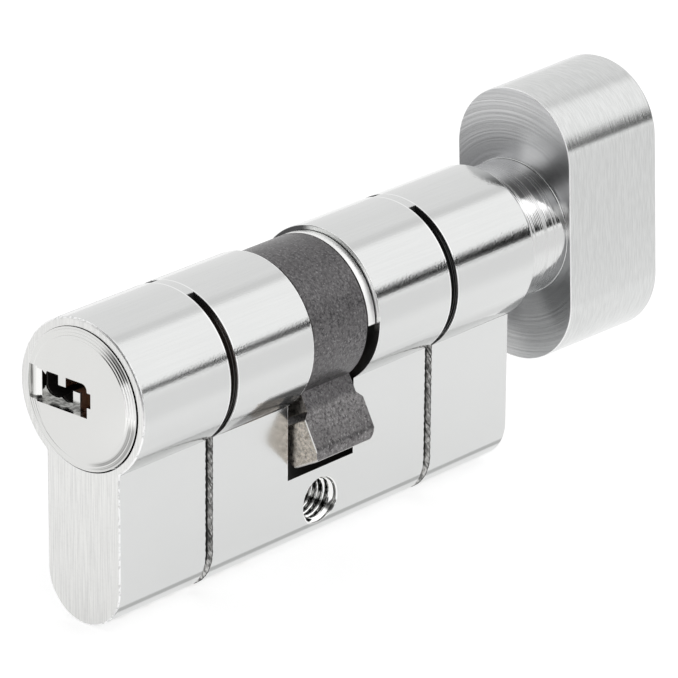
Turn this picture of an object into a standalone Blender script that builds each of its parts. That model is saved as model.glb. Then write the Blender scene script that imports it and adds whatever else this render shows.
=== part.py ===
"""Euro profile lock cylinder with a key side and a thumbturn side, built piece by piece.

Metres, +Z up. The plug axis runs along Y: the key goes in at -Y and the thumbturn is at +Y.
The origin is the centre of the fixing screw's hole, from which a cylinder's two lengths are measured.
The pins stand at the shear line, as the right key sets them, so the plug is free to turn.
"""

from math import asin, atan2, cos, dist, floor, pi, radians, sin, sqrt

import bmesh
import bpy

# Housing profile and lengths
KEY_SIDE_LENGTH = 0.0300
KNOB_SIDE_LENGTH = 0.0300
HEAD_DIAMETER = 0.0170
WEB_WIDTH = 0.0100
PROFILE_HEIGHT = 0.0330
WEB_FILLET = 0.0006
END_CHAMFER = 0.0003
HEAD_WALL = 0.0017
FACE_RIM_WALL = 0.0007

# Clearances between pieces
RUN_GAP = 0.0003
SHEAR_GAP = 0.00015

# Fixing screw hole under the cam
SCREW_DIAMETER = 0.0050
SCREW_COUNTERSINK = 0.0004
SCREW_WALL = 0.0009

# Break-off grooves, sawn into both flanks
GROOVE_FROM_END = 0.0131
GROOVE_WIDTH = 0.0011
GROOVE_WALL = 0.0009

# Cam and its lug
CAM_RING_INSET = 0.0005
CAM_RING_WIDTH = 0.0075
CAM_WEB_WIDTH = 0.0055
CAM_CHAMFER = 0.0002
LUG_RADIUS = 0.0150
LUG_THICKNESS = 0.0044
LUG_SIDE_GAP = 0.00055
LUG_SHOULDER = 0.0017
LUG_KEY_CORNER = 0.0003
LUG_KNOB_CORNER = 0.0012
LUG_TIP_BEVEL = 0.0011
CAM_ANGLE = radians(28.0)

# Circlips on the plug and on the core
CLIP_THICKNESS = 0.0007
CLIP_GROOVE_DEPTH = 0.0009
CLIP_OPENING = radians(120.0)
CLIP_OPENING_START = radians(90.0)

# Key plug and its slot
FACE_PROUD = 0.00025
FLANGE_THICKNESS = 0.0010
FACE_BEVEL_WIDTH = 0.0010
FACE_BEVEL_DEPTH = 0.0004
KEYWAY_WIDTH = 0.0064
KEYWAY_HEIGHT = 0.0036
KEYWAY_CENTRE = -0.00205
WARD_WIDTH = 0.0009
WARD_HEIGHT = 0.0012
WARD_OFFSET = 0.00045
NOTCH_DEPTH = 0.0005
NOTCH_HEIGHT = 0.0015
MOUTH_DEPTH = 0.0013
MOUTH_LEAD = 0.0019

# Pins, springs and chamber plugs
PIN_DIAMETER = 0.0024
PIN_WALL = 0.0005
FIRST_PIN_FROM_FACE = 0.0040
LAST_PIN_FROM_SLOT = 0.0034
PIN_TIP_DIAMETER = 0.0010
PIN_TIP_LENGTH = 0.0009
KEY_CUT_STEP = 0.0002
KEY_CUTS = (2, 4, 1, 3, 1, 5)
DRIVER_LENGTH = 0.0040
DRIVER_WAIST = 0.0017
DRIVER_COLLAR = 0.0009
SPRING_WIRE = 0.0003
SPRING_TURNS = 7
CHAMBER_PLUG_LENGTH = 0.0039
PIN_CHAMFER = 0.00015

# Clutch between the key plug and the cam
TONGUE_WIDTH = 0.0080
TONGUE_THICKNESS = 0.0040
CLUTCH_LENGTH = 0.0030
CORE_TONGUE_LENGTH = 0.0024
STUB_LENGTH = 0.0007
CLUTCH_SPRING_DIAMETER = 0.0030
CLUTCH_SPRING_WIRE = 0.00035
CLUTCH_SPRING_TURNS = 6
CLUTCH_POCKET_DEPTH = 0.0018
CORE_POCKET_DEPTH = 0.0032

# Thumbturn core, knob and set screw
TAIL_DIAMETER = 0.0080
TAIL_LENGTH = 0.0130
TAIL_FLAT_DEPTH = 0.0005
NECK_DIAMETER = 0.0149
NECK_LENGTH = 0.0064
NECK_FILLET = 0.0001
NECK_CHAMFER = 0.0002
KNOB_WIDTH = 0.0152
KNOB_HEIGHT = 0.0302
KNOB_DEPTH = 0.0144
KNOB_FLARE = 0.0005
KNOB_CORNER = 0.0073
KNOB_EDGE = 0.0002
SET_SCREW_DIAMETER = 0.0030
SET_SCREW_FROM_NECK_END = 0.0032
SET_SCREW_SINK = 0.0004
SET_SCREW_SOCKET = 0.0015

# Facets of round shapes
ROUND_STEPS = 48
PIN_STEPS = 16
OVERCUT = 0.0010
WELD = 1e-6

# Radii and places that follow from the sizes above
HEAD_R = HEAD_DIAMETER / 2
WEB_HALF = WEB_WIDTH / 2
BORE_R = HEAD_R - HEAD_WALL
PLUG_R = BORE_R - RUN_GAP
COUNTERBORE_R = HEAD_R - FACE_RIM_WALL
FACE_R = COUNTERBORE_R - RUN_GAP
SCREW_R = SCREW_DIAMETER / 2
SCREW_MOUTH_R = SCREW_R + SCREW_COUNTERSINK
SLOT_DEPTH = LUG_RADIUS + RUN_GAP
AXIS_Z = SLOT_DEPTH + SCREW_WALL + SCREW_MOUTH_R
RING_R = HEAD_R - CAM_RING_INSET
RING_HALF = CAM_RING_WIDTH / 2
CLIP_SPACE = CLIP_THICKNESS + 2 * RUN_GAP
SLOT_HALF = RING_HALF + CLIP_SPACE
CLIP_GROOVE_R = PLUG_R - CLIP_GROOVE_DEPTH
STUB_END = RING_HALF - STUB_LENGTH
CAM_WEB_HALF = min(CAM_WEB_WIDTH / 2, STUB_END - RUN_GAP)
BOTTOM = HEAD_R - PROFILE_HEIGHT
KEY_FACE = -KEY_SIDE_LENGTH - FACE_PROUD
FLANGE_BACK = -KEY_SIDE_LENGTH + FLANGE_THICKNESS
CLUTCH_END = -STUB_END - RUN_GAP
CLUTCH_START = CLUTCH_END - CLUTCH_LENGTH
KEYWAY_END = CLUTCH_START - RUN_GAP
KEYWAY_HALF = KEYWAY_HEIGHT / 2
PIN_R = PIN_DIAMETER / 2
CHAMBER_R = PIN_R + RUN_GAP
PIN_PITCH = 2 * CHAMBER_R + PIN_WALL
GROOVE_CORE_HALF = CHAMBER_R + GROOVE_WALL
SPRING_R = PIN_R - SPRING_WIRE / 2
NECK_START = KNOB_SIDE_LENGTH + RUN_GAP
KNOB_NEAR = NECK_START + NECK_LENGTH
KNOB_FAR = KNOB_NEAR + KNOB_DEPTH
TAIL_R = TAIL_DIAMETER / 2
TAIL_END = KNOB_SIDE_LENGTH + TAIL_LENGTH
NECK_R = NECK_DIAMETER / 2
SET_SCREW_Y = KNOB_NEAR - SET_SCREW_FROM_NECK_END

# Metals: colour, roughness and metallic value
NICKEL = ((0.80, 0.80, 0.79), 0.28, 1.0)
SINTERED = ((0.13, 0.13, 0.14), 0.55, 0.85)
BRASS = ((0.72, 0.54, 0.26), 0.30, 1.0)
STEEL = ((0.52, 0.52, 0.53), 0.30, 1.0)
SPRING_STEEL = ((0.66, 0.66, 0.67), 0.22, 1.0)

# Turns a shape made along Z, or in the XY plane, so that its Z lies along +Y or its XY plane along XZ
ALONG_Y = (-pi / 2, 0.0, 0.0)
FACING_FRONT = (pi / 2, 0.0, 0.0)
ALONG_X = (0.0, pi / 2, 0.0)
UPRIGHT = (0.0, 0.0, 0.0)


def pin_places():
    """Places along Y of the pin chambers: as many as the room between face and cam slot takes."""
    room = KEY_SIDE_LENGTH - SLOT_HALF - FIRST_PIN_FROM_FACE - LAST_PIN_FROM_SLOT
    count = floor(room / PIN_PITCH + 1e-6) + 1
    return [-KEY_SIDE_LENGTH + FIRST_PIN_FROM_FACE + i * PIN_PITCH for i in range(count)]


def clear_scene():
    for obj in list(bpy.data.objects):
        bpy.data.objects.remove(obj, do_unlink=True)


def new_collection(name):
    collection = bpy.data.collections.new(name)
    bpy.context.scene.collection.children.link(collection)
    return collection


def new_material(name, colour, roughness, metallic):
    material = bpy.data.materials.new(name)
    material.use_nodes = True
    shader = material.node_tree.nodes["Principled BSDF"]
    shader.inputs["Base Color"].default_value = (*colour, 1.0)
    shader.inputs["Roughness"].default_value = roughness
    shader.inputs["Metallic"].default_value = metallic
    return material


def new_axis(name, collection):
    """Empty on the plug axis, which carries the pieces that turn together."""
    axis = bpy.data.objects.new(name, None)
    axis.location = (0.0, 0.0, AXIS_Z)
    axis.empty_display_size = HEAD_R
    collection.objects.link(axis)
    return axis


def place(name, data, location, rotation, parent):
    """Puts a new object in the cylinder's collection; its place is given from its parent's origin."""
    obj = bpy.data.objects.new(name, data)
    obj.location = location
    obj.rotation_euler = rotation
    obj.parent = parent
    PARTS.objects.link(obj)
    return obj


def make_cutter(obj):
    """Moves a shape to the cutters, which are tools and not pieces."""
    PARTS.objects.unlink(obj)
    CUTTERS.objects.link(obj)
    obj.hide_render = True
    obj.display_type = "WIRE"
    return obj


def paint(obj, look):
    """Gives a piece a metal of its own: colour, roughness and metallic value."""
    obj.data.materials.clear()
    obj.data.materials.append(new_material(obj.name + "_metal", *look))


def finish(obj, look):
    paint(obj, look)
    obj.data.shade_smooth()
    obj.data.set_sharp_from_angle(angle=radians(35.0))


def combine(obj, tool, operation="DIFFERENCE"):
    modifier = obj.modifiers.new(tool.name, "BOOLEAN")
    modifier.operation = operation
    modifier.solver = "EXACT"
    modifier.object = tool
    make_cutter(tool)


def turned(name, profile, parent, location=(0.0, 0.0, 0.0), rotation=ALONG_Y, steps=ROUND_STEPS):
    """Turns a profile of (radius, height) points, listed from the top down, about its own Z axis."""
    mesh = bpy.data.meshes.new(name)
    points = [(radius, 0.0, height) for radius, height in profile]
    edges = [(i, i + 1) for i in range(len(points) - 1)]
    mesh.from_pydata(points, edges, [])
    obj = place(name, mesh, location, rotation, parent)
    screw = obj.modifiers.new("turn", "SCREW")
    screw.axis = "Z"
    screw.steps = steps
    screw.render_steps = steps
    screw.use_merge_vertices = True
    screw.merge_threshold = WELD
    screw.use_smooth_shade = True
    return obj


def rod(name, radius, top, foot, parent, location=(0.0, 0.0, 0.0), rotation=ALONG_Y, steps=ROUND_STEPS):
    profile = [(0.0, top), (radius, top), (radius, foot), (0.0, foot)]
    return turned(name, profile, parent, location, rotation, steps)


def extruded(name, outline, half_length, parent, location=(0.0, 0.0, 0.0), rotation=FACING_FRONT, chamfer=0.0):
    """Extrudes a closed outline both ways from its plane, with chamfered ends, as a welded mesh."""
    curve = bpy.data.curves.new(name, "CURVE")
    curve.dimensions = "2D"
    curve.fill_mode = "BOTH"
    curve.extrude = half_length - chamfer
    curve.bevel_depth = chamfer
    curve.bevel_resolution = 0
    curve.offset = -chamfer
    spline = curve.splines.new("POLY")
    spline.points.add(len(outline) - 1)
    for point, (u, v) in zip(spline.points, outline):
        point.co = (u, v, 0.0, 1.0)
    spline.use_cyclic_u = True
    source = place(name + ".outline", curve, location, rotation, parent)
    bpy.context.view_layer.update()
    evaluated = source.evaluated_get(bpy.context.evaluated_depsgraph_get())
    mesh = bpy.data.meshes.new_from_object(evaluated)
    bpy.data.objects.remove(source, do_unlink=True)
    weld(mesh)
    mesh.name = name
    return place(name, mesh, location, rotation, parent)


def weld(mesh):
    work = bmesh.new()
    work.from_mesh(mesh)
    bmesh.ops.remove_doubles(work, verts=work.verts, dist=WELD)
    bmesh.ops.recalc_face_normals(work, faces=work.faces)
    work.to_mesh(mesh)
    work.free()


def boxes(name, corners, parent):
    """One mesh of separate boxes, each given by its low and high corner."""
    work = bmesh.new()
    for low, high in corners:
        made = bmesh.ops.create_cube(work, size=1.0)["verts"]
        for vert in made:
            for i in range(3):
                vert.co[i] = low[i] + (vert.co[i] + 0.5) * (high[i] - low[i])
    mesh = bpy.data.meshes.new(name)
    work.to_mesh(mesh)
    work.free()
    return place(name, mesh, (0.0, 0.0, 0.0), UPRIGHT, parent)


def upright_rods(name, radius, foot, top, places, parent):
    """One mesh of upright cylinders, one at each place along Y."""
    work = bmesh.new()
    for y in places:
        made = bmesh.ops.create_cone(work, cap_ends=True, segments=PIN_STEPS, radius1=radius,
                                     radius2=radius, depth=top - foot)["verts"]
        bmesh.ops.translate(work, verts=made, vec=(0.0, y, (top + foot) / 2))
    mesh = bpy.data.meshes.new(name)
    work.to_mesh(mesh)
    work.free()
    return place(name, mesh, (0.0, 0.0, 0.0), UPRIGHT, parent)


def coil(name, radius, wire, turns, foot, top, parent, location, rotation=UPRIGHT):
    """A wire wound on a cylinder about its own Z axis, from its foot to its top."""
    points_per_turn = 8
    count = turns * points_per_turn
    rise = (top - foot - wire) / count
    curve = bpy.data.curves.new(name, "CURVE")
    curve.dimensions = "3D"
    curve.bevel_depth = wire / 2
    curve.bevel_resolution = 0
    curve.use_fill_caps = True
    spline = curve.splines.new("POLY")
    spline.points.add(count)
    route = []
    for i, point in enumerate(spline.points):
        turn = 2 * pi * i / points_per_turn
        route.append((radius * cos(turn), radius * sin(turn), foot + wire / 2 + i * rise))
        point.co = (*route[-1], 1.0)
    print("%s: least gap between turns %.2f mm" % (name, 1000 * least_gap(route, points_per_turn, wire)))
    return place(name, curve, location, rotation, parent)


def least_gap(route, points_per_turn, wire):
    """Least free distance from a point of a coil to the turns next to it."""
    half = points_per_turn // 2
    return min(dist(a, b) for i, a in enumerate(route) for b in route[i + half:]) - wire


def arc(centre, radius, start, end, steps):
    return [(centre[0] + radius * cos(start + (end - start) * i / steps),
             centre[1] + radius * sin(start + (end - start) * i / steps)) for i in range(steps + 1)]


def profile_outline():
    """Standard profile from the plug axis: round head, parallel web with a round foot, filleted between."""
    centre_x = WEB_HALF + WEB_FILLET
    centre_z = -sqrt((HEAD_R + WEB_FILLET) ** 2 - centre_x ** 2)
    lean = atan2(centre_z, centre_x)
    foot = (0.0, BOTTOM + WEB_HALF)
    outline = arc((0.0, 0.0), HEAD_R, lean, pi - lean, ROUND_STEPS)
    outline += arc((-centre_x, centre_z), WEB_FILLET, -lean, 0.0, 3)[1:]
    outline += arc(foot, WEB_HALF, pi, 2 * pi, ROUND_STEPS // 2)
    outline += arc((centre_x, centre_z), WEB_FILLET, pi, pi + lean, 3)[:-1]
    return outline


def tongue_outline(gap=0.0):
    """A flat bar with round ends: the section of the clutch, and with a gap of the slots it fits."""
    radius = TONGUE_WIDTH / 2 + gap
    half = TONGUE_THICKNESS / 2 + gap
    swing = asin(half / radius)
    return arc((0.0, 0.0), radius, -swing, swing, 8) + arc((0.0, 0.0), radius, pi - swing, pi + swing, 8)


def housing_bore(axis):
    """Bores for the plug and the core, with the counterbore for the plug's face."""
    flange_seat = FLANGE_BACK + RUN_GAP
    front = -KEY_SIDE_LENGTH - OVERCUT
    inner = SLOT_HALF - OVERCUT
    key_profile = [(0.0, -inner), (BORE_R, -inner), (BORE_R, flange_seat), (COUNTERBORE_R, flange_seat),
                   (COUNTERBORE_R, front), (0.0, front)]
    key_bore = turned("key_bore", key_profile, axis)
    knob_bore = rod("knob_bore", BORE_R, KNOB_SIDE_LENGTH + OVERCUT, inner, axis)
    return key_bore, knob_bore


def housing_screw_hole():
    mouth = SCREW_MOUTH_R + OVERCUT
    reach = WEB_HALF + OVERCUT
    land = WEB_HALF - SCREW_COUNTERSINK
    profile = [(0.0, reach), (mouth, reach), (SCREW_R, land), (SCREW_R, -land), (mouth, -reach), (0.0, -reach)]
    return turned("screw_hole", profile, None, rotation=ALONG_X, steps=ROUND_STEPS // 2)


def housing_grooves(axis):
    """Four saw cuts, two at each end, which leave a core between the flanks."""
    reach = HEAD_R + OVERCUT
    corners = []
    for y in (-KEY_SIDE_LENGTH + GROOVE_FROM_END, KNOB_SIDE_LENGTH - GROOVE_FROM_END):
        for x_low, x_high in ((-reach, -GROOVE_CORE_HALF), (GROOVE_CORE_HALF, reach)):
            low = (x_low, y - GROOVE_WIDTH / 2, BOTTOM - OVERCUT)
            high = (x_high, y + GROOVE_WIDTH / 2, HEAD_R + OVERCUT)
            corners.append((low, high))
    return boxes("grooves", corners, axis)


def make_housing(axis):
    length = KEY_SIDE_LENGTH + KNOB_SIDE_LENGTH
    middle = (KNOB_SIDE_LENGTH - KEY_SIDE_LENGTH) / 2
    housing = extruded("housing", profile_outline(), length / 2, axis, (0.0, middle, 0.0), chamfer=END_CHAMFER)
    finish(housing, NICKEL)
    side = HEAD_R + OVERCUT
    slot = boxes("cam_slot", [((-side, -SLOT_HALF, -SLOT_DEPTH), (side, SLOT_HALF, side))], axis)
    chambers = upright_rods("chambers", CHAMBER_R, BOTTOM - OVERCUT, -BORE_R + OVERCUT, pin_places(), axis)
    for tool in (*housing_bore(axis), slot, housing_grooves(axis), housing_screw_hole(), chambers):
        combine(housing, tool)


def keyway_outline(with_lower_ward, lead=0.0):
    """Key slot seen from the front: a ward from above, a ward from below and a side notch."""
    left = KEYWAY_CENTRE - KEYWAY_WIDTH / 2
    right = KEYWAY_CENTRE + KEYWAY_WIDTH / 2
    half = KEYWAY_HALF
    upper = KEYWAY_CENTRE - WARD_OFFSET
    lower = KEYWAY_CENTRE + WARD_OFFSET
    outline = [(left - lead, -half)]
    if with_lower_ward:
        outline += [(lower - WARD_WIDTH / 2, -half), (lower - WARD_WIDTH / 2, WARD_HEIGHT - half + WARD_WIDTH / 2),
                    (lower + WARD_WIDTH / 2, WARD_HEIGHT - half + WARD_WIDTH / 2), (lower + WARD_WIDTH / 2, -half)]
    outline += [(right, -half), (right, -NOTCH_HEIGHT / 2), (right + NOTCH_DEPTH, -NOTCH_HEIGHT / 2),
                (right + NOTCH_DEPTH, NOTCH_HEIGHT / 2), (right, NOTCH_HEIGHT / 2), (right, half)]
    outline += [(upper + WARD_WIDTH / 2, half), (upper + WARD_WIDTH / 2, half - WARD_HEIGHT),
                (upper - WARD_WIDTH / 2, half - WARD_HEIGHT), (upper - WARD_WIDTH / 2, half)]
    outline += [(left - lead, half)]
    return outline


def between(name, outline, start, end, axis):
    """Extrudes an outline seen from the front between two places along Y."""
    return extruded(name, outline, (end - start) / 2, axis, (0.0, (start + end) / 2, 0.0))


def make_key_plug(axis):
    rim = FACE_R - FACE_BEVEL_WIDTH
    edge = KEY_FACE + FACE_BEVEL_DEPTH
    bevel = [(rim + FACE_BEVEL_WIDTH * sin(t * pi / 6), edge - FACE_BEVEL_DEPTH * cos(t * pi / 6))
             for t in (2, 1, 0)]
    profile = [(0.0, -STUB_END), (PLUG_R, -STUB_END), (PLUG_R, -RING_HALF), (CLIP_GROOVE_R, -RING_HALF),
               (CLIP_GROOVE_R, -SLOT_HALF), (PLUG_R, -SLOT_HALF), (PLUG_R, FLANGE_BACK), (FACE_R, FLANGE_BACK),
               (FACE_R, edge), *bevel, (0.0, KEY_FACE)]
    plug = turned("key_plug", profile, axis)
    finish(plug, NICKEL)
    front = KEY_FACE - OVERCUT
    mouth = between("key_mouth", keyway_outline(False, MOUTH_LEAD), front, KEY_FACE + MOUTH_DEPTH, axis)
    keyway = between("keyway", keyway_outline(True), front, KEYWAY_END + OVERCUT, axis)
    socket = between("clutch_socket", tongue_outline(RUN_GAP), KEYWAY_END, -STUB_END + OVERCUT, axis)
    pin_top = WARD_HEIGHT - KEYWAY_HALF + WARD_WIDTH
    pin_bores = upright_rods("pin_bores", CHAMBER_R, -PLUG_R - OVERCUT, pin_top, pin_places(), axis)
    for tool in (mouth, keyway, pin_bores, socket):
        combine(plug, tool)


def make_key_pins(axis):
    """Pointed pins whose feet lie just inside the plug's surface, each as long as its cut in the key asks."""
    foot = SHEAR_GAP - PLUG_R
    for i, y in enumerate(pin_places()):
        tip = -KEYWAY_HALF + KEY_CUT_STEP * KEY_CUTS[i % len(KEY_CUTS)]
        profile = [(0.0, tip - foot), (PIN_TIP_DIAMETER / 2, tip - foot), (PIN_R, tip - foot - PIN_TIP_LENGTH),
                   (PIN_R, PIN_CHAMFER), (PIN_R - PIN_CHAMFER, 0.0), (0.0, 0.0)]
        pin = turned("key_pin_%d" % (i + 1), profile, axis, (0.0, y, foot), UPRIGHT, PIN_STEPS)
        finish(pin, BRASS)


def make_driver_pins(axis):
    """Waisted pins in the housing, whose heads lie just outside the plug's bore."""
    head = -BORE_R - SHEAR_GAP
    waist = DRIVER_WAIST / 2
    for i, y in enumerate(pin_places()):
        profile = [(0.0, 0.0), (PIN_R - PIN_CHAMFER, 0.0), (PIN_R, -PIN_CHAMFER), (PIN_R, -DRIVER_COLLAR),
                   (waist, -2 * DRIVER_COLLAR), (waist, DRIVER_COLLAR - DRIVER_LENGTH - PIN_R + waist),
                   (PIN_R, DRIVER_COLLAR - DRIVER_LENGTH), (PIN_R, PIN_CHAMFER - DRIVER_LENGTH),
                   (PIN_R - PIN_CHAMFER, -DRIVER_LENGTH), (0.0, -DRIVER_LENGTH)]
        pin = turned("driver_pin_%d" % (i + 1), profile, axis, (0.0, y, head), UPRIGHT, PIN_STEPS)
        finish(pin, STEEL)


def chamber_foot():
    """Height of the chamber plugs' feet, just inside the round foot of the web."""
    return BOTTOM + WEB_HALF - sqrt(WEB_HALF ** 2 - PIN_R ** 2)


def make_pin_springs(axis):
    top = -BORE_R - SHEAR_GAP - DRIVER_LENGTH - RUN_GAP
    foot = chamber_foot() + CHAMBER_PLUG_LENGTH + RUN_GAP
    for i, y in enumerate(pin_places()):
        spring = coil("pin_spring_%d" % (i + 1), SPRING_R, SPRING_WIRE, SPRING_TURNS, 0.0, top - foot, axis,
                      (0.0, y, foot))
        paint(spring, SPRING_STEEL)


def make_chamber_plugs(axis):
    for i, y in enumerate(pin_places()):
        profile = [(0.0, CHAMBER_PLUG_LENGTH), (PIN_R - PIN_CHAMFER, CHAMBER_PLUG_LENGTH),
                   (PIN_R, CHAMBER_PLUG_LENGTH - PIN_CHAMFER), (PIN_R, 0.0), (0.0, 0.0)]
        plug = turned("chamber_plug_%d" % (i + 1), profile, axis, (0.0, y, chamber_foot()), UPRIGHT, PIN_STEPS)
        finish(plug, BRASS)


def make_circlip(name, side, axis):
    """Open ring in a groove of the plug or core; its opening faces down and to the +X side."""
    inner = CLIP_GROOVE_R + RUN_GAP
    start = pi / 2 - CLIP_OPENING_START
    end = start + 2 * pi - CLIP_OPENING
    outline = arc((0.0, 0.0), RING_R, start, end, 32) + arc((0.0, 0.0), inner, end, start, 32)
    middle = side * (RING_HALF + CLIP_SPACE / 2)
    clip = between(name, outline, middle - CLIP_THICKNESS / 2, middle + CLIP_THICKNESS / 2, axis)
    finish(clip, SPRING_STEEL)


def lug_section():
    """The lug seen along the plug axis, hanging straight down: flat cheeks and a bevelled tip."""
    half = LUG_THICKNESS / 2
    root = -(BORE_R + RING_R) / 2
    shoulder = LUG_TIP_BEVEL - LUG_RADIUS
    drawn_in = half - LUG_TIP_BEVEL / 3
    tip = -sqrt(LUG_RADIUS ** 2 - drawn_in ** 2)
    return [(-half, root), (-half, shoulder), (-drawn_in, tip), (drawn_in, tip), (half, shoulder), (half, root)]


def lug_plan():
    """The lug seen along its thickness, tip down: narrow at the ring, wider past the circlips, one round corner."""
    wide = SLOT_HALF - LUG_SIDE_GAP
    shoulder = -RING_R - LUG_SHOULDER
    key_corner = (LUG_KEY_CORNER - wide, LUG_KEY_CORNER - LUG_RADIUS)
    knob_corner = (wide - LUG_KNOB_CORNER, LUG_KNOB_CORNER - LUG_RADIUS)
    outline = [(RING_HALF, 0.0), (-RING_HALF, 0.0), (-RING_HALF, shoulder), (-wide, shoulder - wide + RING_HALF)]
    outline += arc(key_corner, LUG_KEY_CORNER, pi, 1.5 * pi, 3)
    outline += arc(knob_corner, LUG_KNOB_CORNER, 1.5 * pi, 2 * pi, 5)
    outline += [(wide, shoulder - wide + RING_HALF), (RING_HALF, shoulder)]
    return outline


def make_cam(axis):
    bore = PLUG_R + RUN_GAP
    web = CAM_WEB_HALF
    edge = RING_HALF - CAM_CHAMFER
    rim = RING_R - CAM_CHAMFER
    profile = [(0.0, web), (bore, web), (bore, RING_HALF), (rim, RING_HALF), (RING_R, edge), (RING_R, -edge),
               (rim, -RING_HALF), (bore, -RING_HALF), (bore, -web), (0.0, -web)]
    cam = turned("cam", profile, axis)
    finish(cam, SINTERED)
    hang = bpy.data.objects.new("lug_direction", None)
    hang.rotation_euler = (0.0, -CAM_ANGLE, 0.0)
    hang.parent = axis
    CUTTERS.objects.link(hang)
    lug = extruded("lug", lug_section(), SLOT_HALF, hang)
    plan = extruded("lug_plan", lug_plan(), LUG_THICKNESS, hang, rotation=(pi / 2, 0.0, pi / 2))
    combine(lug, plan, "INTERSECT")
    combine(cam, lug, "UNION")
    combine(cam, between("cam_tongue_slot", tongue_outline(RUN_GAP), -RING_HALF, RING_HALF, axis))


def make_clutch(axis):
    clutch = between("clutch", tongue_outline(), CLUTCH_START, CLUTCH_END, axis)
    finish(clutch, STEEL)
    pocket = CLUTCH_SPRING_DIAMETER / 2 + RUN_GAP
    combine(clutch, rod("clutch_pocket", pocket, CLUTCH_END + OVERCUT, CLUTCH_END - CLUTCH_POCKET_DEPTH, axis,
                        steps=PIN_STEPS))


def core_tongue_end():
    return STUB_END - CORE_TONGUE_LENGTH


def make_clutch_spring(axis):
    foot = CLUTCH_END - CLUTCH_POCKET_DEPTH + RUN_GAP
    top = core_tongue_end() + CORE_POCKET_DEPTH - RUN_GAP
    radius = (CLUTCH_SPRING_DIAMETER - CLUTCH_SPRING_WIRE) / 2
    spring = coil("clutch_spring", radius, CLUTCH_SPRING_WIRE, CLUTCH_SPRING_TURNS, foot, top, axis,
                  (0.0, 0.0, 0.0), ALONG_Y)
    paint(spring, SPRING_STEEL)


def make_thumbturn_core(axis):
    profile = [(0.0, TAIL_END), (TAIL_R, TAIL_END), (TAIL_R, KNOB_SIDE_LENGTH), (PLUG_R, KNOB_SIDE_LENGTH),
               (PLUG_R, SLOT_HALF), (CLIP_GROOVE_R, SLOT_HALF), (CLIP_GROOVE_R, RING_HALF), (PLUG_R, RING_HALF),
               (PLUG_R, STUB_END), (0.0, STUB_END)]
    core = turned("thumbturn_core", profile, axis)
    finish(core, NICKEL)
    tongue = between("core_tongue", tongue_outline(), core_tongue_end(), STUB_END + OVERCUT, axis)
    combine(core, tongue, "UNION")
    pocket = CLUTCH_SPRING_DIAMETER / 2 + RUN_GAP
    combine(core, rod("core_pocket", pocket, core_tongue_end() + CORE_POCKET_DEPTH,
                      core_tongue_end() - OVERCUT, axis, steps=PIN_STEPS))
    low = (-TAIL_R, SET_SCREW_Y - SET_SCREW_DIAMETER, -TAIL_R - OVERCUT)
    high = (TAIL_R, SET_SCREW_Y + SET_SCREW_DIAMETER, TAIL_FLAT_DEPTH - TAIL_R)
    combine(core, boxes("tail_flat", [(low, high)], axis))


def knob_outline():
    """The grip seen from the front: upright, with round ends."""
    half_width = KNOB_WIDTH / 2
    half_height = KNOB_HEIGHT / 2
    corner = min(KNOB_CORNER, half_width - WELD * 100)
    across = half_width - corner
    up = half_height - corner
    outline = []
    for x, z, start in ((across, up, 0.0), (-across, up, 0.5), (-across, -up, 1.0), (across, -up, 1.5)):
        outline += arc((x, z), corner, start * pi, (start + 0.5) * pi, 10)
    return outline


def flare(obj):
    """Spreads the far end of the grip, which is a little wider and taller than its near end."""
    work = bmesh.new()
    work.from_mesh(obj.data)
    far = [vert for vert in work.verts if vert.co.z < 0.0]
    spread = (1.0 + 2 * KNOB_FLARE / KNOB_WIDTH, 1.0 + 2 * KNOB_FLARE / KNOB_HEIGHT, 1.0)
    bmesh.ops.scale(work, verts=far, vec=spread)
    work.to_mesh(obj.data)
    work.free()


def make_knob(axis):
    knob = between("knob", knob_outline(), KNOB_NEAR, KNOB_FAR, axis)
    flare(knob)
    finish(knob, NICKEL)
    bevel = knob.modifiers.new("edge", "BEVEL")
    bevel.width = KNOB_EDGE
    bevel.segments = 2
    bevel.limit_method = "ANGLE"
    bevel.angle_limit = radians(50.0)
    fillet = [(NECK_R + NECK_FILLET * (1 - sin(t * pi / 6)), KNOB_NEAR - NECK_FILLET * (1 - cos(t * pi / 6)))
              for t in (0, 1, 2, 3)]
    root = KNOB_NEAR + KNOB_EDGE
    neck = [(0.0, root), (NECK_R + NECK_FILLET, root), *fillet, (NECK_R, NECK_START + NECK_CHAMFER),
            (NECK_R - NECK_CHAMFER, NECK_START), (0.0, NECK_START)]
    combine(knob, turned("neck", neck, axis), "UNION")
    combine(knob, rod("tail_bore", TAIL_R + RUN_GAP, TAIL_END + RUN_GAP, NECK_START - OVERCUT, axis))
    screw_hole = rod("set_screw_hole", SET_SCREW_DIAMETER / 2 + RUN_GAP, -TAIL_R, -NECK_R - OVERCUT, axis,
                     (0.0, SET_SCREW_Y, 0.0), UPRIGHT, PIN_STEPS)
    combine(knob, screw_hole)


def make_set_screw(axis):
    """Headless screw from below, its point on the tail's flat and its hexagon socket facing down."""
    radius = SET_SCREW_DIAMETER / 2
    top = TAIL_FLAT_DEPTH - TAIL_R - RUN_GAP
    foot = SET_SCREW_SINK - NECK_R
    profile = [(0.0, top), (radius / 2, top), (radius, top - radius / 2), (radius, foot), (0.0, foot)]
    screw = turned("knob_set_screw", profile, axis, (0.0, SET_SCREW_Y, 0.0), UPRIGHT, PIN_STEPS)
    finish(screw, STEEL)
    socket_top = foot + (top - foot) / 2
    combine(screw, rod("set_screw_socket", SET_SCREW_SOCKET / 2, socket_top, foot - OVERCUT, axis,
                       (0.0, SET_SCREW_Y, 0.0), UPRIGHT, 6))


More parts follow.
